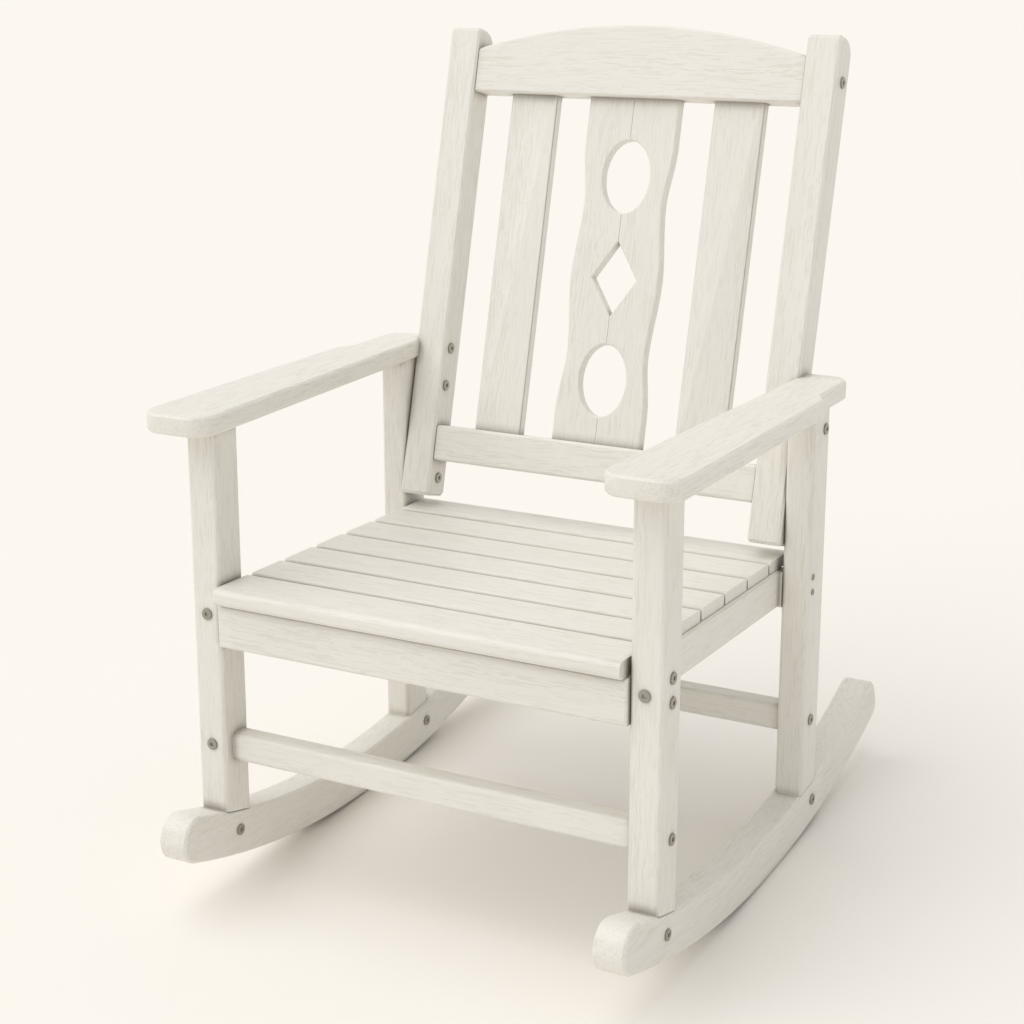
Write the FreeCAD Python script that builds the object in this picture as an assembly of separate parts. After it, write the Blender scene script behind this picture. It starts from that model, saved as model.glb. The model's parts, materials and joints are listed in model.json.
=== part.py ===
"""Rocking Adirondack chair with a tall slatted back, built board by board.

Millimetres. X runs across the chair, +Y to the back and +Z up. The origin is on
the floor, midway between the rockers, under the line that they stand on.
The pieces are drawn with the seat level. At the end the whole chair leans back
about the rockers' axis, as far as its own weight takes it on a level floor.
"""
import FreeCAD
import Part
import math
import os

os.makedirs("parts", exist_ok=True)
V = FreeCAD.Vector

# Rockers
rocker_radius = 1160.0       # underside, about an axis above the line it stands on
rocker_depth = 60.0          # underside to top face
rocker_width = 41.0
rocker_spacing = 560.0       # between the inside faces of the pair
rocker_length = 821.0        # tip to tip
rocker_lead = 88.0           # front tip ahead of the front legs
rocker_front_round = 27.0
rocker_back_round = 21.0
rocker_edge = 3.0            # chamfers along the side faces
rocker_bolt_drop = 27.0      # cross bolts below the top face
rear_rocker_bolt_inset = 11.0  # ahead of the rear legs' back face

# Legs
leg_face_y = -267.0          # front face of the front legs
front_leg_depth = 50.0
leg_run = 440.0              # front face of the front legs to that of the rear legs
rear_leg_depth = 54.0
rear_leg_width = 37.0
leg_edge = 5.5

# Armrests
arm_height = 614.4           # top face over the front face of the front legs
arm_rise_deg = 1.15          # the arm climbs this much towards the back
arm_thickness = 25.0
arm_side_overhang = 34.0     # outer edge beyond the legs
arm_overhang = 48.0          # ahead of the front legs
arm_front_width = 97.0
arm_lap = 4.0                # inner edge inside the back post's outer face, at the post
arm_shoulder_y = 380.4       # where the outer edge steps in, from the front legs
arm_shoulder_run = 17.3
arm_shoulder_step = 13.0
arm_shoulder_corner = 28.0
arm_tail = 16.4              # rear end behind the bolt from the back post
arm_front_corner = 28.0
arm_back_corner = 25.0
arm_edge = 3.0               # chamfers round both faces

# Seat
seat_height = 394.0          # floor to the top of the slats
seat_slat_length = 552.0
seat_nose_lead = 18.0        # front slat ahead of the front legs
front_slat_width = 75.5
front_slat_thickness = 22.0
seat_slat_width = 66.0
seat_slat_thickness = 18.0
seat_gap = 5.0
seat_slat_count = 6          # behind the front slat
seat_housing = 2.0           # side rails let into the slats
seat_edge = 5.0
nose_edge = 8.0

# Seat frame and stretchers
apron_lead = 6.0             # front face ahead of the front legs
apron_thickness = 22.0
apron_height = 57.0
side_rail_thickness = 30.0
side_rail_height = 50.0
rear_rail_thickness = 26.0
rear_rail_height = 48.0
rear_rail_setback = 1.0      # front face behind that of the rear legs
stretcher_thickness = 29.0
stretcher_height = 36.0
front_stretcher_z = 158.0    # underside
front_stretcher_setback = 16.0
rear_stretcher_z = 156.0
rear_stretcher_setback = 10.0
rail_edge = 2.5
stretcher_edge = 5.0

# Back
recline_deg = 13.55
back_setback = 421.4         # post front at seat height, behind the front legs' front
post_width = 45.0
post_depth = 45.0
post_lift = 21.0             # lower end above the seat, along the post
post_length = 648.6
post_edge = 3.0              # chamfers along the side faces
post_end_edge = 4.5          # chamfers across the ends
post_crown = 24.0            # rear of the upper end
rail_inset = 4.0             # back rails behind the posts' front
back_rail_thickness = 38.0
lower_rail_rise = 71.5       # above the seat, along the back
lower_rail_height = 49.3
crest_rise = 583.2
crest_end_height = 59.6
crest_arch = 35.0            # middle above the ends
slat_setback = 13.0          # behind the rails' front
back_slat_thickness = 16.0
back_slat_width = 71.0
back_slat_inner = 115.0      # inner edge, from the middle
slat_seat = 12.0             # let into each back rail
back_slat_edge = 2.0

# Centre splat, with heights measured from its middle
splat_half_width = 66.0
splat_waist = 58.0
splat_belly = 65.5
splat_middle = 343.0         # above the seat, along the back
splat_waist_offset = 101.0
splat_shoulder_offset = 180.0
oval_offset = 136.4
oval_half_height = 48.5
oval_half_width = 34.8
diamond_half_height = 49.7
diamond_half_width = 33.0
splat_edge = 2.0             # chamfers along the wavy edges
cutout_edge = 1.4
joint_groove = 0.6           # V along the joint between the two halves

# Joints
fit = 0.2                    # on each cheek of a tenon
tip_gap = 1.0                # past the end of a tenon
foot_tenon = (18.0, 44.0, 40.0)
arm_tenon = (18.0, 28.0, 14.0)
apron_tenon = (28.0, 10.0, 37.0)
stretcher_tenon = (26.0, 14.0, 24.0)
side_rail_tenon = (14.0, 8.0, 30.0)
back_rail_tenon = (20.0, 18.0, 30.0)
front_tenon_shift = 3.0      # front stretcher's tenons ahead of its middle
tenon_root = 5.0             # part of a tenon drawn inside its rail

# Fixings
shank_radius = 4.0
shank_sides = 8
head_radius = 7.2
head_sides = 20
head_height = 2.2
key_across = 5.0             # hexagonal recess
key_depth = 1.8
hole_gap = 0.25
sleeve_radius = 5.6
sleeve_gap = 0.1             # between the shank and the sleeve's bore
sleeve_wall_end = 4.0
bolt_length = 60.0
pin_length = 16.0
pin_inset = 19.0             # apron and stretcher pins, from the legs' inner faces
apron_pin_drop = 18.0        # below the apron's top
stretcher_pin_rise = 6.0     # above the stretcher's middle
side_rail_bolt_drops = (7.0, 36.0)
screw_scale = 0.58           # rail screws against the bolts
screw_length = 45.0
rail_screw_drops = (4.0, 24.0)
through_bolt_share = 0.58    # of the way up from the lower back rail to the armrest
low_bolt_back = 15.0         # behind the rear legs' front
low_bolt_rise = 40.0         # above the seat
low_bolt_length = 66.0
arm_bolt_lead = 5.0          # ahead of the post's middle, level with the armrest's top
arm_bolt_length = 76.0
crest_bolt_length = 80.0
sleeve_share = 0.4           # part of the way through that the sleeve takes
sleeve_slack = 0.75          # between the bolt's end and the sleeve's end wall

# Weights for the balance, in kilograms per cubic millimetre
board_density = 1.10e-6
fixing_density = 7.85e-6

pick = 1.0                   # how near a face an edge's middle is, to be picked with it
overcut = 0.01               # past a face, for cuts that open onto it

# Positions that follow from the sizes above
inner_x = rocker_spacing / 2
outer_x = inner_x + rocker_width
post_outer_x = outer_x - rear_leg_width
post_inner_x = post_outer_x - post_width
rear_leg_y = leg_face_y + leg_run
back_y = leg_face_y + back_setback
front_leg_mid = leg_face_y + front_leg_depth / 2
rear_leg_mid = rear_leg_y + rear_leg_depth / 2
front_leg_x = (inner_x + outer_x) / 2
rear_leg_x = (post_outer_x + outer_x) / 2
slat_bottom = seat_height - seat_slat_thickness
side_rail_top = slat_bottom + seat_housing
side_rail_inner = inner_x - side_rail_thickness
apron_y = leg_face_y - apron_lead
apron_back = apron_y + apron_thickness
apron_top = seat_height - front_slat_thickness
rear_rail_y = rear_leg_y + rear_rail_setback
top_radius = rocker_radius - rocker_depth
arm_outer_x = outer_x + arm_side_overhang
arm_slope = math.tan(math.radians(arm_rise_deg))
lean_slope = math.tan(math.radians(recline_deg))
half_post = post_depth / 2 / math.cos(math.radians(recline_deg))
arm_bolt_y = back_y + (arm_height - seat_height) * lean_slope + half_post - arm_bolt_lead
arm_tail_y = arm_bolt_y + arm_tail
lower_rail_top = lower_rail_rise + lower_rail_height
lower_rail_high = seat_height + lower_rail_top * math.cos(math.radians(recline_deg))
arm_low = arm_height + arm_slope * leg_run - arm_thickness
through_bolt_z = lower_rail_high + through_bolt_share * (arm_low - lower_rail_high)
post_front_y = back_y + (through_bolt_z - seat_height) * lean_slope
through_bolt_y = (post_front_y + rear_leg_y + rear_leg_depth) / 2
slat_front = rail_inset + slat_setback


def block(low, high):
    """Plain block between two opposite corners."""
    size = high - low
    return Part.makeBox(size.x, size.y, size.z, low)


def socket(low, high, tip):
    """Mortise for a tenon between two corners, with room past its tip."""
    spare = V(fit, fit, fit)
    ahead = V(max(tip.x, 0), max(tip.y, 0), max(tip.z, 0)) * tip_gap
    behind = V(min(tip.x, 0), min(tip.y, 0), min(tip.z, 0)) * tip_gap
    return block(low - spare + behind, high + spare + ahead)


def mirrored(shape):
    """The same piece for the other side of the chair."""
    return shape.mirror(V(0, 0, 0), V(1, 0, 0))


def edges_along(shape, axis):
    """Straight edges that run parallel to an axis."""
    found = []
    for edge in shape.Edges:
        if isinstance(edge.Curve, Part.Line):
            run = edge.Vertexes[-1].Point - edge.Vertexes[0].Point
            if run.cross(axis).Length < 1e-6 * run.Length:
                found.append(edge)
    return found


def edges_in_plane(shape, point, normal):
    """Edges that lie in one plane."""
    found = []
    for edge in shape.Edges:
        spots = edge.discretize(5)
        if max(abs((spot - point).dot(normal)) for spot in spots) < 1e-4:
            found.append(edge)
    return found


def board(low, high, axis, edge_radius):
    """Block with its four long edges rounded."""
    bar = block(low, high)
    return bar.makeFillet(edge_radius, edges_along(bar, axis))


def eased(low, high, axis, edge):
    """Block with its four long edges chamfered."""
    bar = block(low, high)
    return bar.makeChamfer(edge, edges_along(bar, axis))


def rounded_outline(corners):
    """Closed outline in the XY plane; each corner is x, y and its radius."""
    starts = []
    pieces = []
    for i, (x, y, radius) in enumerate(corners):
        here = V(x, y, 0)
        back = V(*corners[i - 1][:2], 0) - here
        ahead = V(*corners[(i + 1) % len(corners)][:2], 0) - here
        half_angle = back.getAngle(ahead) / 2
        reach = radius / math.tan(half_angle)
        enter = here + back.normalize() * reach
        leave = here + ahead.normalize() * reach
        if radius > 0:
            middle = back + ahead
            centre = here + middle.normalize() * (radius / math.sin(half_angle))
            crown = centre + (here - centre).normalize() * radius
            pieces.append(Part.Arc(enter, crown, leave).toShape())
        starts.append((enter, leave))
    for i, (enter, leave) in enumerate(starts):
        pieces.append(Part.makeLine(starts[i - 1][1], enter))
    return Part.Wire(Part.__sortEdges__(pieces))


def reclined(shape):
    """Lean a piece drawn upright: x across, y behind the posts' front, z up the back."""
    leaning = shape.copy()
    leaning.rotate(V(0, 0, 0), V(1, 0, 0), -recline_deg)
    leaning.translate(V(0, back_y, seat_height))
    return leaning


def on_back(x, y, z):
    """Point of the upright back, once leaned."""
    lean = math.radians(recline_deg)
    return V(
        x,
        back_y + y * math.cos(lean) + z * math.sin(lean),
        seat_height + z * math.cos(lean) - y * math.sin(lean),
    )


def sloped(shape):
    """Tip a flat piece, drawn with its top at height 0, to the armrests' slope."""
    tipped = shape.copy()
    tipped.rotate(V(0, leg_face_y, 0), V(1, 0, 0), arm_rise_deg)
    tipped.translate(V(0, 0, arm_height))
    return tipped


def arm_under(y):
    """Height of the armrest's underside."""
    return arm_height + arm_slope * (y - leg_face_y) - arm_thickness


def rocker_top(y):
    """Height of the rocker's top face."""
    return rocker_radius - math.sqrt(top_radius ** 2 - y ** 2)


# Fixings: flanged heads on the boards' faces, shanks in holes with a small gap.
# Shanks and holes are drawn eight-sided, since nothing of them shows.

def prism(sides, corner_radius, depth):
    """Regular prism that stands on the XY plane."""
    points = []
    for i in range(sides + 1):
        turn = 2 * math.pi * i / sides
        points.append(V(corner_radius * math.cos(turn), corner_radius * math.sin(turn), 0))
    return Part.Face(Part.makePolygon(points)).extrude(V(0, 0, depth))


def placed(shape, seat, inward):
    """Move a fixing drawn along -Z from the origin to its seat."""
    turned = shape.copy()
    turned.Placement = FreeCAD.Placement(seat, FreeCAD.Rotation(V(0, 0, -1), inward))
    return turned


def recess(scale=1.0):
    """Hexagonal key recess, from the head's top face down."""
    hexagon = prism(6, key_across * scale / math.sqrt(3), key_depth * scale)
    hexagon.translate(V(0, 0, (head_height - key_depth) * scale))
    return hexagon


def shank(radius, length):
    """Shank below the XY plane, or the hole for one."""
    return prism(shank_sides, radius, -length)


def bolt(seat, inward, length, scale=1.0):
    """Flanged bolt, seated under its head."""
    cap = prism(head_sides, head_radius * scale, head_height * scale)
    whole = cap.fuse(shank(shank_radius * scale, length)).cut(recess(scale))
    return placed(whole, seat, inward)


def bolt_hole(seat, inward, length, scale=1.0):
    """Hole for one bolt."""
    return placed(shank(shank_radius * scale + hole_gap, length + hole_gap), seat, inward)


def sleeve_nut(seat, inward, length):
    """Flanged sleeve that takes the far end of a bolt."""
    bore = shank(shank_radius + sleeve_gap, length)
    bore.translate(V(0, 0, -sleeve_wall_end))
    cap = prism(head_sides, head_radius, head_height)
    whole = cap.fuse(shank(sleeve_radius, length))
    return placed(whole.cut(bore).cut(recess()), seat, inward)


def sleeve_hole(seat, inward, length):
    """Hole for one sleeve nut."""
    return placed(shank(sleeve_radius + hole_gap, length + hole_gap), seat, inward)


fixings = {}
holes = []


def add_bolt(node, seat, inward, length, scale=1.0):
    """One bolt for a group, and the hole it needs."""
    fixings.setdefault(node, []).append(bolt(seat, inward, length, scale))
    holes.append(bolt_hole(seat, inward, length, scale))


def add_sleeve_pair(bolt_node, nut_node, seat, far_seat):
    """Bolt through two boards into a sleeve nut from the other side."""
    inward = (far_seat - seat).normalize()
    span = (far_seat - seat).Length
    sleeve_length = sleeve_share * span
    length = span - sleeve_wall_end - sleeve_slack
    fixings.setdefault(bolt_node, []).append(bolt(seat, inward, length))
    fixings.setdefault(nut_node, []).append(sleeve_nut(far_seat, inward * -1, sleeve_length))
    holes.append(bolt_hole(seat, inward, length))
    holes.append(sleeve_hole(far_seat, inward * -1, sleeve_length))


pin_x = inner_x + pin_inset
front_stretcher_mid = V(
    0,
    leg_face_y + front_stretcher_setback + stretcher_thickness / 2,
    front_stretcher_z + stretcher_height / 2,
)
rear_stretcher_mid = V(
    0,
    rear_leg_y + rear_stretcher_setback + stretcher_thickness / 2,
    rear_stretcher_z + stretcher_height / 2,
)
rear_rail_mid = rear_rail_y + rear_rail_thickness / 2
through_bolt = V(0, through_bolt_y, through_bolt_z)
low_bolt = V(0, rear_leg_y + low_bolt_back, seat_height + low_bolt_rise)
rear_rocker_bolt_y = rear_leg_y + rear_leg_depth - rear_rocker_bolt_inset
crest_bolt = on_back(0, rail_inset + back_rail_thickness / 2, crest_rise + crest_end_height / 2)

for side in (-1, 1):
    outward = V(side, 0, 0)
    inward = V(-side, 0, 0)
    leg_skin = outward * outer_x
    post_skin = outward * post_inner_x
    for bolt_y in (front_leg_mid, rear_rocker_bolt_y):
        cross = V(0, bolt_y, rocker_top(bolt_y) - rocker_bolt_drop)
        add_sleeve_pair(
            "rocker_bolts",
            "rocker_sleeve_nuts",
            leg_skin + cross,
            outward * inner_x + cross,
        )
    for drop in side_rail_bolt_drops:
        rail_spot = V(0, front_leg_mid, side_rail_top - drop)
        add_bolt("side_rail_bolts", leg_skin + rail_spot, inward, bolt_length)
    add_bolt("stretcher_bolts", leg_skin + rear_stretcher_mid, inward, bolt_length)
    pin_spot = V(side * pin_x, leg_face_y, apron_top - apron_pin_drop)
    add_bolt("apron_pin_bolts", pin_spot, V(0, 1, 0), pin_length)
    for drop in rail_screw_drops:
        screw_spot = V(side * outer_x, rear_rail_mid, slat_bottom - drop)
        add_bolt("rear_rail_screws", screw_spot, inward, screw_length, screw_scale)
    add_sleeve_pair(
        "post_through_bolts",
        "post_sleeve_nuts",
        leg_skin + through_bolt,
        post_skin + through_bolt,
    )
    arm_spot = V(0, arm_bolt_y, arm_under(arm_bolt_y) + arm_thickness / 2)
    add_bolt("arm_bolts", post_skin + arm_spot, outward, arm_bolt_length)
    add_bolt("low_post_bolts", post_skin + low_bolt, outward, low_bolt_length)
    crest_skin = outward * post_outer_x
    add_bolt("crest_bolts", crest_skin + crest_bolt, inward, crest_bolt_length)

# The right front leg holds its stretcher from the side, the left one from the front
add_bolt("stretcher_bolts", V(outer_x, 0, 0) + front_stretcher_mid, V(-1, 0, 0), bolt_length)
stretcher_pin = V(-pin_x, leg_face_y, front_stretcher_mid.z + stretcher_pin_rise)
add_bolt("stretcher_pin_bolt", stretcher_pin, V(0, 1, 0), 2 * pin_length)


def drilled(shape):
    """Cut every fixing's hole that reaches this piece."""
    for hole in holes:
        if hole.BoundBox.intersect(shape.BoundBox):
            shape = shape.cut(hole)
    return shape


# Rockers, legs and armrests, drawn for the right side

def leg_tenons(middle_x, middle_y):
    """Corners of a leg's foot tenon and of its tenon into the armrest."""
    foot_x, foot_y, foot_z = foot_tenon
    arm_x, arm_y, arm_z = arm_tenon
    foot_base = rocker_top(middle_y)
    arm_base = arm_under(middle_y)
    foot = (
        V(middle_x - foot_x / 2, middle_y - foot_y / 2, foot_base - foot_z),
        V(middle_x + foot_x / 2, middle_y + foot_y / 2, foot_base + foot_z),
    )
    top = (
        V(middle_x - arm_x / 2, middle_y - arm_y / 2, arm_base - arm_z),
        V(middle_x + arm_x / 2, middle_y + arm_y / 2, arm_base + arm_z),
    )
    return foot, top


front_foot, front_top = leg_tenons(front_leg_x, front_leg_mid)
rear_foot, rear_top = leg_tenons(rear_leg_x, rear_leg_mid)


def tip_angle(reach, corner):
    """Angle about the axis of a rounded tip that reaches this far along Y."""
    far = rocker_radius - corner
    return math.atan2(corner, far) + math.asin((reach - corner) / math.hypot(far, corner))


def rocker():
    """Runner: two concentric arcs, rounded tips and softened edges."""
    front_reach = rocker_lead - leg_face_y
    front = -tip_angle(front_reach, rocker_front_round)
    back = tip_angle(rocker_length - front_reach, rocker_back_round)

    def spot(radius, turn):
        return V(inner_x, radius * math.sin(turn), rocker_radius - radius * math.cos(turn))

    middle = (front + back) / 2
    side = [
        Part.Arc(*[spot(rocker_radius, turn) for turn in (front, middle, back)]).toShape(),
        Part.makeLine(spot(rocker_radius, back), spot(top_radius, back)),
        Part.Arc(*[spot(top_radius, turn) for turn in (back, middle, front)]).toShape(),
        Part.makeLine(spot(top_radius, front), spot(rocker_radius, front)),
    ]
    runner = Part.Face(Part.Wire(side)).extrude(V(rocker_width, 0, 0))
    ends = edges_along(runner, V(1, 0, 0))
    front_ends = [edge for edge in ends if edge.CenterOfMass.y < 0]
    runner = runner.makeFillet(rocker_front_round, front_ends)
    ends = edges_along(runner, V(1, 0, 0))
    back_ends = [edge for edge in ends if edge.CenterOfMass.y > 0]
    runner = runner.makeFillet(rocker_back_round, back_ends)
    faces = edges_in_plane(runner, V(inner_x, 0, 0), V(1, 0, 0))
    faces += edges_in_plane(runner, V(outer_x, 0, 0), V(1, 0, 0))
    runner = runner.makeChamfer(rocker_edge, faces)
    for foot in (front_foot, rear_foot):
        runner = runner.cut(socket(*foot, V(0, 0, -1)))
    return runner


def leg(x_low, x_high, y_low, y_high, foot, top):
    """Leg from the rocker's top arc to the sloping underside of the armrest."""
    spare_top = arm_height + 2 * arm_thickness
    post = board(V(x_low, y_low, 0), V(x_high, y_high, spare_top), V(0, 0, 1), leg_edge)
    inside = Part.makeCylinder(top_radius, 2 * outer_x, V(0, 0, rocker_radius), V(1, 0, 0))
    above = sloped(
        block(V(0, -2 * leg_run, -arm_thickness), V(2 * outer_x, 2 * leg_run, 4 * arm_thickness))
    )
    return post.common(inside).cut(above).fuse(block(*foot)).fuse(block(*top)).removeSplitter()


def back_post():
    """Reclined post, with a rounded crown."""
    top = post_lift + post_length
    post = block(V(post_inner_x, 0, post_lift), V(post_outer_x, post_depth, top))
    crown = [
        edge
        for edge in edges_along(post, V(1, 0, 0))
        if edge.CenterOfMass.y > pick and edge.CenterOfMass.z > top - pick
    ]
    post = post.makeFillet(post_crown, crown)
    corners = [(0, post_lift), (post_depth, post_lift), (0, top)]
    others = [
        edge
        for edge in edges_along(post, V(1, 0, 0))
        for y, z in corners
        if math.hypot(edge.CenterOfMass.y - y, edge.CenterOfMass.z - z) < pick
    ]
    post = post.makeChamfer(post_end_edge, others)
    sides = edges_in_plane(post, V(post_inner_x, 0, 0), V(1, 0, 0))
    sides += edges_in_plane(post, V(post_outer_x, 0, 0), V(1, 0, 0))
    return post.makeChamfer(post_edge, sides)


def armrest():
    """Arm outline: wide at the front, stepped in at the back, notched for the post."""
    front = leg_face_y - arm_overhang
    step = leg_face_y + arm_shoulder_y
    inner_front = arm_outer_x - arm_front_width
    inner_back = post_outer_x - arm_lap
    back_x = arm_outer_x - arm_shoulder_step
    outline = rounded_outline(
        [
            (inner_front, front, arm_front_corner),
            (arm_outer_x, front, arm_front_corner),
            (arm_outer_x, step, arm_shoulder_corner),
            (back_x, step + arm_shoulder_run, arm_shoulder_corner),
            (back_x, arm_tail_y, arm_back_corner),
            (inner_back, arm_tail_y, 0),
        ]
    )
    arm = Part.Face(outline).extrude(V(0, 0, -arm_thickness))
    rims = edges_in_plane(arm, V(0, 0, 0), V(0, 0, 1))
    rims += edges_in_plane(arm, V(0, 0, -arm_thickness), V(0, 0, 1))
    arm = sloped(arm.makeChamfer(arm_edge, rims))
    notch = reclined(block(V(0, 0, 0), V(post_outer_x, 4 * post_depth, post_length)))
    arm = arm.cut(notch)
    for top in (front_top, rear_top):
        arm = arm.cut(socket(*top, V(0, 0, 1)))
    return arm


def mortised(shape, tenons, tip):
    """Cut the sockets for some tenons."""
    for tenon in tenons:
        shape = shape.cut(socket(*tenon, tip))
    return shape


def tenon_at(x_base, middle_y, middle_z, size):
    """Corners of a tenon that points along +X from a shoulder."""
    length, thickness, height = size
    return (
        V(x_base, middle_y - thickness / 2, middle_z - height / 2),
        V(x_base + length, middle_y + thickness / 2, middle_z + height / 2),
    )


def both_ends(rail, tenon):
    """Add a tenon to a rail's right end and its mirror to the left."""
    low, high = tenon
    root = block(V(low.x - tenon_root, low.y, low.z), high)
    return rail.fuse(root).fuse(mirrored(root)).removeSplitter()


apron_tongue = tenon_at(
    inner_x, apron_back - apron_tenon[1] / 2, apron_top - apron_height / 2, apron_tenon
)
front_stretcher_tongue = tenon_at(
    inner_x, front_stretcher_mid.y - front_tenon_shift, front_stretcher_mid.z, stretcher_tenon
)
rear_stretcher_tongue = tenon_at(
    post_outer_x, rear_stretcher_mid.y, rear_stretcher_mid.z, stretcher_tenon
)
lower_rail_tongue = tenon_at(
    post_inner_x,
    rail_inset + back_rail_thickness / 2,
    lower_rail_rise + lower_rail_height / 2,
    back_rail_tenon,
)
rail_mid_z = side_rail_top - side_rail_height / 2
rail_width, rail_reach, rail_tall = side_rail_tenon
rail_mid_x = inner_x - side_rail_thickness / 2
side_rail_front_tongue = (
    V(rail_mid_x - rail_width / 2, apron_back - rail_reach, rail_mid_z - rail_tall / 2),
    V(rail_mid_x + rail_width / 2, apron_back + rail_reach, rail_mid_z + rail_tall / 2),
)
side_rail_back_tongue = (
    V(rail_mid_x - rail_width / 2, rear_rail_y - rail_reach, rail_mid_z - rail_tall / 2),
    V(rail_mid_x + rail_width / 2, rear_rail_y + rail_reach, rail_mid_z + rail_tall / 2),
)


def mirrored_corners(tenon):
    """The same tenon on the other side."""
    low, high = tenon
    return V(-high.x, low.y, low.z), V(-low.x, high.y, high.z)


# Seat frame and stretchers

def side_rail():
    """Seat rail from the apron to the rear rail."""
    rail = eased(
        V(side_rail_inner, apron_back, side_rail_top - side_rail_height),
        V(inner_x, rear_rail_y, side_rail_top),
        V(0, 1, 0),
        rail_edge,
    )
    rail = rail.fuse(block(*side_rail_front_tongue)).fuse(block(*side_rail_back_tongue))
    return rail.removeSplitter()


def apron():
    """Rail under the front slat, standing a little ahead of the legs."""
    rail = block(V(-inner_x, apron_y, apron_top - apron_height), V(inner_x, apron_back, apron_top))
    rail = rail.makeChamfer(rail_edge, edges_in_plane(rail, V(0, apron_y, 0), V(0, 1, 0)))
    rail = both_ends(rail, apron_tongue)
    sides = [side_rail_front_tongue, mirrored_corners(side_rail_front_tongue)]
    return mortised(rail, sides, V(0, -1, 0))


def rear_rail():
    """Rail between the rear legs, under the last slat."""
    rail = eased(
        V(-post_outer_x, rear_rail_y, slat_bottom - rear_rail_height),
        V(post_outer_x, rear_rail_y + rear_rail_thickness, slat_bottom),
        V(1, 0, 0),
        rail_edge,
    )
    sides = [side_rail_back_tongue, mirrored_corners(side_rail_back_tongue)]
    return mortised(rail, sides, V(0, 1, 0))


def stretcher(middle, half_length, tongue):
    """Low rail between two legs."""
    half = V(half_length, stretcher_thickness / 2, stretcher_height / 2)
    return both_ends(board(middle - half, middle + half, V(1, 0, 0), stretcher_edge), tongue)


# Seat slats

def seat_slat(front_y, width, thickness, front_edge):
    """One slat, softened all round and let down over the side rails."""
    half = seat_slat_length / 2
    low = V(-half, front_y, seat_height - thickness)
    high = V(half, front_y + width, seat_height)
    slat = block(low, high)
    front = [e for e in edges_along(slat, V(1, 0, 0)) if e.CenterOfMass.y < front_y + pick]
    slat = slat.makeFillet(front_edge, front)
    top = [e for e in edges_along(slat, V(1, 0, 0)) if e.CenterOfMass.z > seat_height - pick]
    back = [e for e in top if e.CenterOfMass.y > front_y + width - pick]
    slat = slat.makeFillet(seat_edge, back)
    housing = block(
        V(side_rail_inner - fit, apron_back - fit, side_rail_top - side_rail_height),
        V(inner_x, rear_rail_y + rear_rail_thickness, side_rail_top),
    )
    return slat.cut(housing).cut(mirrored(housing))


# Back

def upright_slat(outline_face):
    """Thicken a slat's outline and soften its front and back edges."""
    slat = outline_face.extrude(V(0, back_slat_thickness, 0))
    rims = edges_in_plane(slat, V(0, slat_front, 0), V(0, 1, 0))
    rims += edges_in_plane(slat, V(0, slat_front + back_slat_thickness, 0), V(0, 1, 0))
    return slat, rims


def side_slat():
    """Plain slat beside the centre splat."""
    return eased(
        V(back_slat_inner, slat_front, lower_rail_top - slat_seat),
        V(
            back_slat_inner + back_slat_width,
            slat_front + back_slat_thickness,
            crest_rise + slat_seat,
        ),
        V(0, 0, 1),
        back_slat_edge,
    )


def splat_edge_curve(side):
    """Wavy edge of the centre splat, from shoulder to shoulder."""
    profile = [
        (splat_half_width, -splat_shoulder_offset),
        (splat_waist, -splat_waist_offset),
        (splat_belly, 0),
        (splat_waist, splat_waist_offset),
        (splat_half_width, splat_shoulder_offset),
    ]
    points = [V(side * x, slat_front, splat_middle + z) for x, z in profile]
    curve = Part.BSplineCurve()
    curve.interpolate(
        Points=points,
        Tangents=[V(0, 0, 1)] * len(points),
        TangentFlags=[True] * len(points),
    )
    return curve.toShape(), points


def centre_splat():
    """Whole splat with its two ovals and the diamond cut out."""
    low = lower_rail_top - slat_seat
    high = crest_rise + slat_seat
    right, right_points = splat_edge_curve(1)
    left, left_points = splat_edge_curve(-1)
    start_right, end_right = right_points[0], right_points[-1]
    start_left, end_left = left_points[0], left_points[-1]

    def at(point, z):
        return V(point.x, point.y, z)

    outline = Part.Wire(
        Part.__sortEdges__(
            [
                right,
                left,
                Part.makeLine(end_right, at(end_right, high)),
                Part.makeLine(at(end_right, high), at(end_left, high)),
                Part.makeLine(at(end_left, high), end_left),
                Part.makeLine(start_left, at(start_left, low)),
                Part.makeLine(at(start_left, low), at(start_right, low)),
                Part.makeLine(at(start_right, low), start_right),
            ]
        )
    )
    slat, rims = upright_slat(Part.Face(outline))
    long_rims = [edge for edge in rims if low + pick < edge.CenterOfMass.z < high - pick]
    slat = slat.makeChamfer(splat_edge, long_rims)
    for side in (-1, 1):
        middle = V(0, slat_front, splat_middle + side * oval_offset)
        oval = Part.Ellipse(
            middle + V(0, 0, oval_half_height), middle + V(oval_half_width, 0, 0), middle
        )
        hole = Part.Face(Part.Wire(oval.toShape())).extrude(V(0, back_slat_thickness, 0))
        slat = slat.cut(hole)
    corners = [
        V(0, slat_front, splat_middle + diamond_half_height),
        V(diamond_half_width, slat_front, splat_middle),
        V(0, slat_front, splat_middle - diamond_half_height),
        V(-diamond_half_width, slat_front, splat_middle),
    ]
    diamond = Part.Face(Part.makePolygon(corners + corners[:1]))
    slat = slat.cut(diamond.extrude(V(0, back_slat_thickness, 0)))
    inside = []
    for edge in slat.Edges:
        spots = edge.discretize(5)
        near = max(abs(spot.x) for spot in spots) < splat_waist - 2 * back_slat_edge
        flat = max(spot.y for spot in spots) - min(spot.y for spot in spots) < 1e-4
        within = low + pick < edge.CenterOfMass.z < high - pick
        if near and flat and within:
            inside.append(edge)
    return slat.makeChamfer(cutout_edge, inside)


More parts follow.
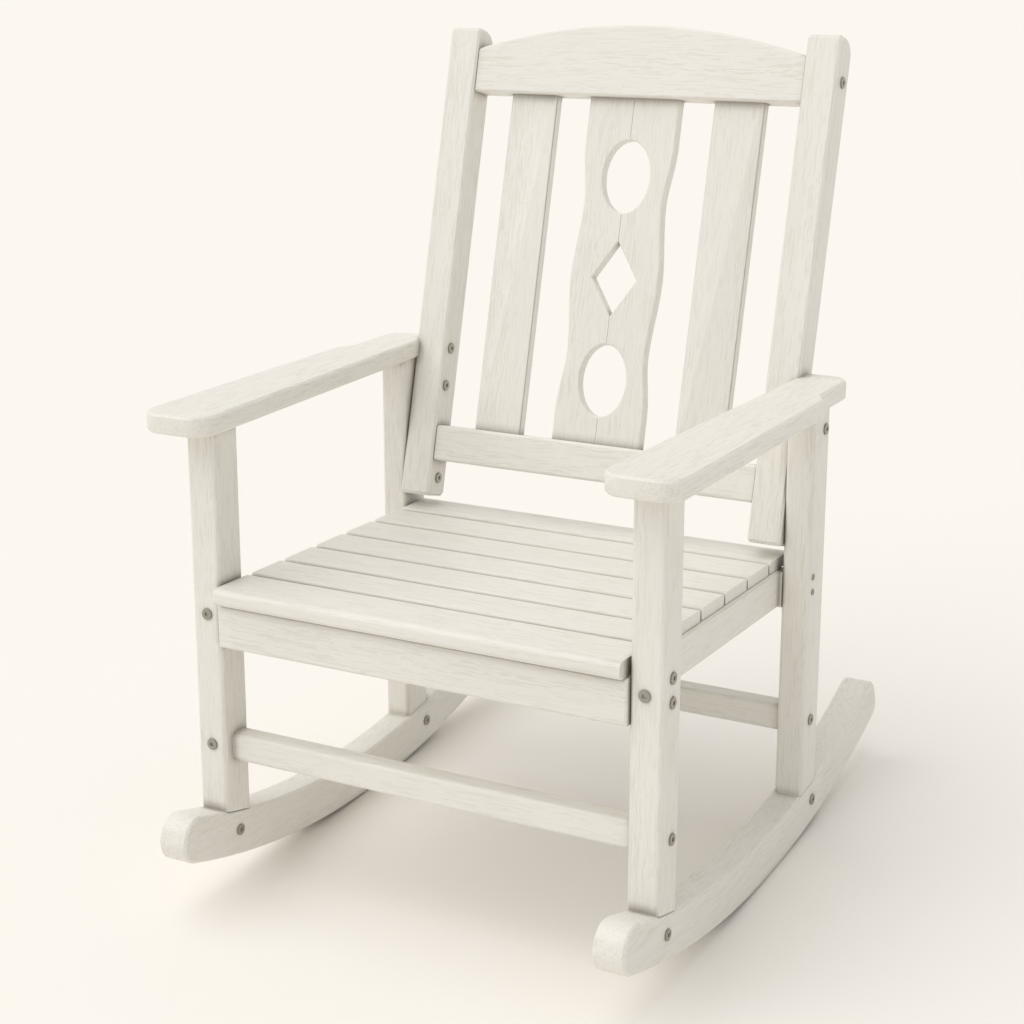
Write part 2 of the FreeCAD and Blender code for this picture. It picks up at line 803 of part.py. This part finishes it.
def splat_half(side, whole):
    """One half of the splat, with a fine V at the joint."""
    room = block(V(0, -post_depth, 0), V(2 * splat_half_width, 3 * post_depth, 2 * post_length))
    half = whole.common(room)
    front = slat_front - overcut
    rear = slat_front + back_slat_thickness + overcut
    for face_y, depth in ((front, joint_groove), (rear, -joint_groove)):
        groove = Part.Face(
            Part.makePolygon(
                [
                    V(-joint_groove, face_y, 0),
                    V(joint_groove, face_y, 0),
                    V(0, face_y + depth, 0),
                    V(-joint_groove, face_y, 0),
                ]
            )
        ).extrude(V(0, 0, 2 * post_length))
        half = half.cut(groove)
    return half if side > 0 else mirrored(half)


def slat_sockets(bottom, top):
    """Sockets for the back slats between two heights."""
    spans = [
        (-splat_half_width, splat_half_width),
        (back_slat_inner, back_slat_inner + back_slat_width),
        (-back_slat_inner - back_slat_width, -back_slat_inner),
    ]
    return [
        block(
            V(low - fit, slat_front - fit, bottom),
            V(high + fit, slat_front + back_slat_thickness + fit, top),
        )
        for low, high in spans
    ]


def lower_back_rail():
    """Rail that carries the feet of the back slats."""
    rail = eased(
        V(-post_inner_x, rail_inset, lower_rail_rise),
        V(post_inner_x, rail_inset + back_rail_thickness, lower_rail_top),
        V(1, 0, 0),
        rail_edge,
    )
    for hole in slat_sockets(lower_rail_top - slat_seat, lower_rail_top + slat_seat):
        rail = rail.cut(hole)
    return both_ends(rail, lower_rail_tongue)


def crest_rail():
    """Arched top rail that caps the back slats."""
    end_top = crest_rise + crest_end_height
    left_low = V(-post_inner_x, rail_inset, crest_rise)
    right_low = V(post_inner_x, rail_inset, crest_rise)
    left_high = V(-post_inner_x, rail_inset, end_top)
    right_high = V(post_inner_x, rail_inset, end_top)
    outline = Part.Wire(
        [
            Part.makeLine(left_low, right_low),
            Part.makeLine(right_low, right_high),
            Part.Arc(right_high, V(0, rail_inset, end_top + crest_arch), left_high).toShape(),
            Part.makeLine(left_high, left_low),
        ]
    )
    rail = Part.Face(outline).extrude(V(0, back_rail_thickness, 0))
    rims = [
        edge
        for y in (rail_inset, rail_inset + back_rail_thickness)
        for edge in edges_in_plane(rail, V(0, y, 0), V(0, 1, 0))
        if edge.Length > post_inner_x
    ]
    rail = rail.makeChamfer(rail_edge, rims)
    for hole in slat_sockets(crest_rise - slat_seat, crest_rise + slat_seat + tip_gap):
        rail = rail.cut(hole)
    return rail


parts = {}


def add_pair(name, shape):
    """Right piece as drawn, left piece mirrored; then drill each for its own fixings."""
    parts["right_" + name] = drilled(shape)
    parts["left_" + name] = drilled(mirrored(shape))


add_pair("rocker", rocker())
front_leg = leg(
    inner_x, outer_x, leg_face_y, leg_face_y + front_leg_depth, front_foot, front_top
)
front_leg = mortised(front_leg, [apron_tongue, front_stretcher_tongue], V(1, 0, 0))
add_pair("front_leg", front_leg)
rear_leg = leg(
    post_outer_x, outer_x, rear_leg_y, rear_leg_y + rear_leg_depth, rear_foot, rear_top
)
add_pair("rear_leg", mortised(rear_leg, [rear_stretcher_tongue], V(1, 0, 0)))
add_pair("armrest", armrest())
add_pair("back_post", reclined(back_post().cut(socket(*lower_rail_tongue, V(1, 0, 0)))))
add_pair("seat_rail", side_rail())
add_pair("back_slat", reclined(side_slat()))
splat = centre_splat()
parts["right_splat_half"] = reclined(splat_half(1, splat))
parts["left_splat_half"] = reclined(splat_half(-1, splat))
parts["lower_back_rail"] = drilled(reclined(lower_back_rail()))
parts["crest_rail"] = drilled(reclined(crest_rail()))
parts["front_apron"] = drilled(apron())
parts["rear_seat_rail"] = drilled(rear_rail())
parts["front_stretcher"] = drilled(
    stretcher(front_stretcher_mid, inner_x, front_stretcher_tongue)
)
parts["rear_stretcher"] = drilled(
    stretcher(rear_stretcher_mid, post_outer_x, rear_stretcher_tongue)
)
nose_y = leg_face_y - seat_nose_lead
parts["seat_slat_1"] = seat_slat(nose_y, front_slat_width, front_slat_thickness, nose_edge)
slat_y = nose_y + front_slat_width + seat_gap
for number in range(seat_slat_count):
    parts["seat_slat_" + str(number + 2)] = seat_slat(
        slat_y, seat_slat_width, seat_slat_thickness, seat_edge
    )
    slat_y += seat_slat_width + seat_gap
for name, pieces in fixings.items():
    parts[name] = Part.makeCompound(pieces)

# Lean the chair back about the rockers' axis until its weight is over the floor line
weight = 0
moment = V(0, 0, 0)
for name, shape in parts.items():
    density = fixing_density if name in fixings else board_density
    for solid in shape.Solids:
        weight += solid.Volume * density
        moment += solid.CenterOfMass * (solid.Volume * density)
centre = moment * (1 / weight)
balance_deg = math.degrees(math.atan2(centre.y, rocker_radius - centre.z))

for name, shape in parts.items():
    shape.rotate(V(0, 0, rocker_radius), V(1, 0, 0), -balance_deg)
    shape.exportStep("parts/" + name + ".step")
print("balance lean", round(balance_deg, 3), "weight", round(weight, 2))
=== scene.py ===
# %% [markdown]
# # A rocking Adirondack chair in plastic lumber
# The chair is built board by board in CAD. This script loads those boards as a
# fixed frame and gives them the looks of the real thing: the softened edges, the
# embossed grain and the steel fixings. Everything is in metres, with the floor
# at Z = 0 and the front of the chair towards -Y. The chair stands as its weight
# leaves it on its runners, leaning a few degrees back.

import json
import math

import bpy
from mathutils import Matrix, Vector

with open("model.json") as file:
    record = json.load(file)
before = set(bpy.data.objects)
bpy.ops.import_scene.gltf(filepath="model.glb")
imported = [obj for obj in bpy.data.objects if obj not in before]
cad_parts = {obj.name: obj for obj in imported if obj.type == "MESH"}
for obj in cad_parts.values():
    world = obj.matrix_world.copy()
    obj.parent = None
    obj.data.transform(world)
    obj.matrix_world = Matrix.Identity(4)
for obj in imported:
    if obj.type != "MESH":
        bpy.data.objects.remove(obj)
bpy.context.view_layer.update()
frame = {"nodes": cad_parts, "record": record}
nodes = frame["nodes"]
seat_top = next(m for m in frame["record"]["mounts"] if m["name"] == "seat_top")
LEAN = math.atan2(seat_top["axis"][1], seat_top["axis"][2])
print("boards and fixings:", len(nodes), "lean:", round(math.degrees(LEAN), 2))

# %% [markdown]
# ## Colours and nodes
# Colours are written as they look on a screen, so one function turns them into
# the linear values that the renderer works with. A second small function adds a
# shader node, sets it and joins it up.

# %% Colour and node helpers
MM = 1000.0


def linear(hex_colour):
    """A screen colour such as #e6e1d6, in linear light and opaque."""
    parts = [int(hex_colour[i : i + 2], 16) / 255 for i in (1, 3, 5)]
    light = [p / 12.92 if p <= 0.04045 else ((p + 0.055) / 1.055) ** 2.4 for p in parts]
    return light + [1.0]


def add(tree, kind, inputs=(), **settings):
    """Add a node; inputs take values or other nodes' outputs."""
    made = tree.nodes.new(kind)
    for name, value in settings.items():
        setattr(made, name, value)
    for socket, value in dict(inputs).items():
        if isinstance(value, bpy.types.NodeSocket):
            tree.links.new(value, made.inputs[socket])
        else:
            made.inputs[socket].default_value = value
    return made


def new_material(name):
    """An empty material with its tree and its output."""
    material = bpy.data.materials.new(name)
    material.use_nodes = True
    tree = material.node_tree
    tree.nodes.clear()
    return material, tree, tree.nodes.new("ShaderNodeOutputMaterial")


# %% [markdown]
# ## Plastic lumber
# The boards are high-density polyethylene, coloured right through and extruded
# between rollers that press a wood grain into the skin. It is a dull, slightly
# waxy plastic. The grain is a height pattern, so it is drawn as bump, with a
# faint tint where dirt sits in the lines. It runs along each board, so the same
# finish is made once for each direction that boards run in. Painted shade darkens
# the joints and the gaps between the slats, and a painted highlight makes the
# worked edges pale. Ambient occlusion finds both: it is dark close to another
# face, and its inside form is dark close to an outer edge.

# %% Embossed polyethylene
RECLINE = math.radians(13.55)  # of the back against the legs
LINE_MM = 2.2  # across one pressed line
LINE_STRETCH = 24.0  # its length against its width
WAVE_MM = 26.0  # how far apart the lines bend
WAVE_SWING_MM = 6.0
PATCH_MM = 30.0  # fields of deeper and shallower grain
TONE_MM = 160.0  # slow drift of the plastic's own colour
EMBOSS_M = 0.00022
EMBOSS_SHARE = 0.6
GRAIN_TINT = 0.32  # how much dirt shows in the lines
SKIN_ROUGH = 0.42
LINE_ROUGH = 0.62
# How far the painted shade in the joints and gaps reaches.
PAINTED_SHADE_REACH_M = 0.014
# How far in from an outer edge the painted highlight reaches.
PAINTED_HIGHLIGHT_REACH_M = 0.0035
LOOKS_ROUND = 8  # rays for each ambient occlusion


def embossed_polyethylene(name, along, lean):
    """Off-white plastic lumber with its grain along X, Y or Z."""
    material, tree, output = new_material(name)
    # The pattern is laid out in millimetres, square with the boards.
    place = add(tree, "ShaderNodeTexCoord").outputs["Object"]
    level = add(
        tree,
        "ShaderNodeMapping",
        {"Vector": place, "Scale": (MM, MM, MM), "Rotation": (lean, 0.0, 0.0)},
    ).outputs["Vector"]
    # The lines bend a little, and are drawn out along the board.
    wave = add(
        tree,
        "ShaderNodeTexNoise",
        {"Vector": level, "Scale": 1.0 / WAVE_MM, "Detail": 1.0},
    ).outputs["Color"]
    swing = add(
        tree,
        "ShaderNodeVectorMath",
        {0: wave, 1: (WAVE_SWING_MM,) * 3, 2: level},
        operation="MULTIPLY_ADD",
    ).outputs["Vector"]
    squeeze = [1.0, 1.0, 1.0]
    squeeze["XYZ".index(along)] = 1.0 / LINE_STRETCH
    grained = add(
        tree, "ShaderNodeMapping", {"Vector": swing, "Scale": squeeze}
    ).outputs["Vector"]
    # Pressed lines, deeper in some fields than in others.
    rolled = add(
        tree,
        "ShaderNodeTexNoise",
        {"Vector": grained, "Scale": 1.0 / LINE_MM, "Detail": 3.0, "Roughness": 0.55},
    ).outputs["Fac"]
    lines = add(
        tree,
        "ShaderNodeMapRange",
        {"Value": rolled, "From Min": 0.36, "From Max": 0.52, "To Min": 1.0, "To Max": 0.0},
        interpolation_type="SMOOTHSTEP",
    ).outputs["Result"]
    patches = add(
        tree,
        "ShaderNodeTexNoise",
        {"Vector": grained, "Scale": 1.0 / PATCH_MM, "Detail": 1.0},
    ).outputs["Fac"]
    depth = add(
        tree,
        "ShaderNodeMapRange",
        {"Value": patches, "From Min": 0.38, "From Max": 0.62, "To Min": 0.55, "To Max": 1.0},
    ).outputs["Result"]
    cut = add(tree, "ShaderNodeMath", {0: lines, 1: depth}, operation="MULTIPLY").outputs[0]
    # The plastic's own colour, with dirt in the lines.
    broad = add(
        tree,
        "ShaderNodeTexNoise",
        {"Vector": level, "Scale": 1.0 / TONE_MM, "Detail": 1.0},
    ).outputs["Fac"]
    tone = add(
        tree,
        "ShaderNodeMix",
        {"Factor": broad, "A": linear("#efece5"), "B": linear("#e8e5dd")},
        data_type="RGBA",
    )
    shade = add(
        tree, "ShaderNodeMath", {0: cut, 1: GRAIN_TINT}, operation="MULTIPLY"
    ).outputs[0]
    colour = add(
        tree,
        "ShaderNodeMix",
        {"Factor": shade, "A": tone.outputs["Result"], "B": linear("#cbc4b7")},
        data_type="RGBA",
    )
    # Painted shade near other faces, then a painted highlight on the outer edges.
    nearby = add(
        tree,
        "ShaderNodeAmbientOcclusion",
        {"Distance": PAINTED_SHADE_REACH_M},
        samples=LOOKS_ROUND,
    ).outputs["AO"]
    # Painted shade: the colour turns dull brown close to other faces.
    painted_shade = add(
        tree,
        "ShaderNodeMapRange",
        {"Value": nearby, "From Min": 0.30, "From Max": 0.94, "To Min": 0.85, "To Max": 0.0},
    ).outputs["Result"]
    shaded_colour = add(
        tree,
        "ShaderNodeMix",
        {"Factor": painted_shade, "A": colour.outputs["Result"], "B": linear("#8a8173")},
        data_type="RGBA",
    )
    # Painted highlight: the colour turns near white close to outer edges.
    thin = add(
        tree,
        "ShaderNodeAmbientOcclusion",
        {"Distance": PAINTED_HIGHLIGHT_REACH_M},
        samples=LOOKS_ROUND,
        inside=True,
    ).outputs["AO"]
    painted_highlight = add(
        tree,
        "ShaderNodeMapRange",
        {"Value": thin, "From Min": 0.45, "From Max": 0.85, "To Min": 0.55, "To Max": 0.0},
    ).outputs["Result"]
    colour = add(
        tree,
        "ShaderNodeMix",
        {"Factor": painted_highlight, "A": shaded_colour.outputs["Result"], "B": linear("#fbf9f5")},
        data_type="RGBA",
    )
    # The lines as bump, and rougher than the skin between them.
    height = add(tree, "ShaderNodeMath", {0: 1.0, 1: cut}, operation="SUBTRACT").outputs[0]
    emboss = add(
        tree,
        "ShaderNodeBump",
        {"Height": height, "Strength": EMBOSS_SHARE, "Distance": EMBOSS_M},
    ).outputs["Normal"]
    rough = add(
        tree,
        "ShaderNodeMapRange",
        {"Value": cut, "To Min": SKIN_ROUGH, "To Max": LINE_ROUGH},
    ).outputs["Result"]
    surface = add(
        tree,
        "ShaderNodeBsdfPrincipled",
        {
            "Base Color": colour.outputs["Result"],
            "Roughness": rough,
            "IOR": 1.50,
            "Normal": emboss,
        },
    ).outputs["BSDF"]
    tree.links.new(surface, output.inputs["Surface"])
    return material


lumber = {
    "across": embossed_polyethylene("embossed_polyethylene_across", "X", LEAN),
    "deep": embossed_polyethylene("embossed_polyethylene_front_to_back", "Y", LEAN),
    "upright": embossed_polyethylene("embossed_polyethylene_upright", "Z", LEAN),
    "reclined": embossed_polyethylene("embossed_polyethylene_reclined", "Z", LEAN + RECLINE),
}
runs = {
    "deep": ["rocker", "armrest", "seat_rail"],
    "upright": ["front_leg", "rear_leg"],
    "reclined": ["back_post", "back_slat", "splat_half"],
}
print("lumber finishes:", len(lumber))

# %% [markdown]
# ## Stainless fixings
# The heads are turned stainless steel, left as machined: grey, with a fine
# uneven texture from the tool and a satin shine.

# %% Turned stainless steel
TOOL_MARK_MM = 0.6


def turned_stainless_steel():
    """Satin grey steel with a fine tooling texture."""
    material, tree, output = new_material("turned_stainless_steel")
    place = add(tree, "ShaderNodeTexCoord").outputs["Object"]
    scratches = add(
        tree,
        "ShaderNodeTexNoise",
        {"Vector": place, "Scale": MM / TOOL_MARK_MM, "Detail": 3.0},
    ).outputs["Fac"]
    rough = add(
        tree, "ShaderNodeMapRange", {"Value": scratches, "To Min": 0.30, "To Max": 0.48}
    ).outputs["Result"]
    tone = add(
        tree,
        "ShaderNodeMix",
        {"Factor": scratches, "A": linear("#8f8b84"), "B": linear("#b4b0a8")},
        data_type="RGBA",
    )
    surface = add(
        tree,
        "ShaderNodeBsdfPrincipled",
        {"Base Color": tone.outputs["Result"], "Metallic": 1.0, "Roughness": rough},
    ).outputs["BSDF"]
    tree.links.new(surface, output.inputs["Surface"])
    return material


steel = turned_stainless_steel()
print("steel finish:", steel.name)


# %% Give every node its finish
def finish_of(name):
    """The finish for one CAD node, from the way its boards run."""
    if name.endswith(("bolts", "bolt", "nuts", "screws")):
        return steel
    for direction, kinds in runs.items():
        if name.endswith(tuple(kinds)):
            return lumber[direction]
    return lumber["across"]


for name, node in nodes.items():
    for slot in node.material_slots:
        slot.material = finish_of(name)
print("boards in lumber:", sum(finish_of(name) is not steel for name in nodes))

# %% [markdown]
# ## Softened edges
# Every board's edge is worked round with a cutter after it is sawn. The CAD
# boards carry the large rounds and the chamfers; a small bevel turns what is
# left of each corner, and a smaller one the rims of the steel heads. The faces
# come as loose triangles, so they are welded first.

# %% Bevel the boards and the heads
BOARD_ROUND = 0.0016
HEAD_ROUND = 0.0004
SAME_POINT = 0.00002
SHARP = math.radians(30)


def soften(node, width):
    """Weld a piece's faces and round its sharp corners."""
    weld = node.modifiers.new("weld", "WELD")
    weld.merge_threshold = SAME_POINT
    bevel = node.modifiers.new("worked_edge", "BEVEL")
    bevel.width = width
    bevel.segments = 2
    bevel.limit_method = "ANGLE"
    bevel.angle_limit = SHARP
    bevel.harden_normals = True


for name, node in nodes.items():
    soften(node, HEAD_ROUND if finish_of(name) is steel else BOARD_ROUND)
print("rounded", len(nodes), "nodes, boards by", BOARD_ROUND * MM, "mm")

# %% [markdown]
# ## Studio
# A pale floor, a pale surround that only the camera and reflections see, and one
# broad soft sun from the front left, with the rest of the light from all round.

# %% Floor
FLOOR_M = 160.0
FLOOR_BACK_M = 40.0
bpy.ops.object.select_all(action="DESELECT")
bpy.ops.mesh.primitive_plane_add(size=FLOOR_M, location=(0.0, FLOOR_BACK_M, 0.0))
floor = bpy.context.object
floor.name = "floor"
floor_finish, tree, output = new_material("matt_studio_paper")
paper = add(
    tree,
    "ShaderNodeBsdfPrincipled",
    {"Base Color": linear("#fbf7f1"), "Roughness": 0.9, "Specular IOR Level": 0.1},
).outputs["BSDF"]
tree.links.new(paper, output.inputs["Surface"])
floor.data.materials.append(floor_finish)
print("floor of", round(floor.dimensions.x), "m")

# %% Light
SKY_STRENGTH = 0.62
SUN_STRENGTH = 1.42
SUN_SPREAD = math.radians(70)
TO_LIGHT = Vector((-0.52, -0.42, 1.15))
world = bpy.data.worlds.new("studio")
bpy.context.scene.world = world
world.use_nodes = True
tree = world.node_tree
tree.nodes.clear()
paths = add(tree, "ShaderNodeLightPath").outputs
seen = add(
    tree,
    "ShaderNodeMath",
    {0: paths["Is Camera Ray"], 1: paths["Is Glossy Ray"]},
    operation="MAXIMUM",
).outputs[0]
seen = add(
    tree, "ShaderNodeMath", {0: seen, 1: paths["Is Transmission Ray"]}, operation="MAXIMUM"
).outputs[0]
lit = add(
    tree, "ShaderNodeBackground", {"Color": linear("#ffffff"), "Strength": SKY_STRENGTH}
).outputs[0]
shown = add(
    tree, "ShaderNodeBackground", {"Color": linear("#fcf8f2"), "Strength": 1.0}
).outputs[0]
mixed = add(tree, "ShaderNodeMixShader", {0: seen, 1: lit, 2: shown}).outputs[0]
tree.links.new(mixed, add(tree, "ShaderNodeOutputWorld").inputs["Surface"])

bpy.ops.object.light_add(type="SUN", rotation=TO_LIGHT.to_track_quat("Z", "Y").to_euler())
sun = bpy.context.object
sun.name = "broad_sun"
sun.data.energy = SUN_STRENGTH
sun.data.angle = SUN_SPREAD
sun.data.color = linear("#fffdf9")[:3]
print("sun spread over", round(math.degrees(sun.data.angle)), "degrees")

# %% [markdown]
# ## Camera
# The photographer stood to the right of the chair's front and looked down about
# 15 degrees at a chair that was held level. The camera leans back with the
# chair, about the rockers' axis, so the chair keeps the photograph's view.

# %% Camera
AXLE = Vector((0.0, 0.0, 1.160))
LEVEL_SPOT = Vector((1.1907, -2.1768, 1.1384))
LEVEL_LOOK = Vector((-0.4677, 0.8436, -0.2635))
LENS_MM = 71.44
SENSOR_MM = 36.0
tilt = Matrix.Rotation(-LEAN, 3, "X")
turn = tilt @ LEVEL_LOOK.to_track_quat("-Z", "Y").to_matrix()
bpy.ops.object.camera_add(
    location=AXLE + tilt @ (LEVEL_SPOT - AXLE), rotation=turn.to_euler()
)
camera = bpy.context.object
camera.data.lens = LENS_MM
camera.data.sensor_width = SENSOR_MM
bpy.context.scene.camera = camera
bpy.context.scene.view_settings.view_transform = "Standard"
print("camera at", [round(c, 3) for c in camera.location])
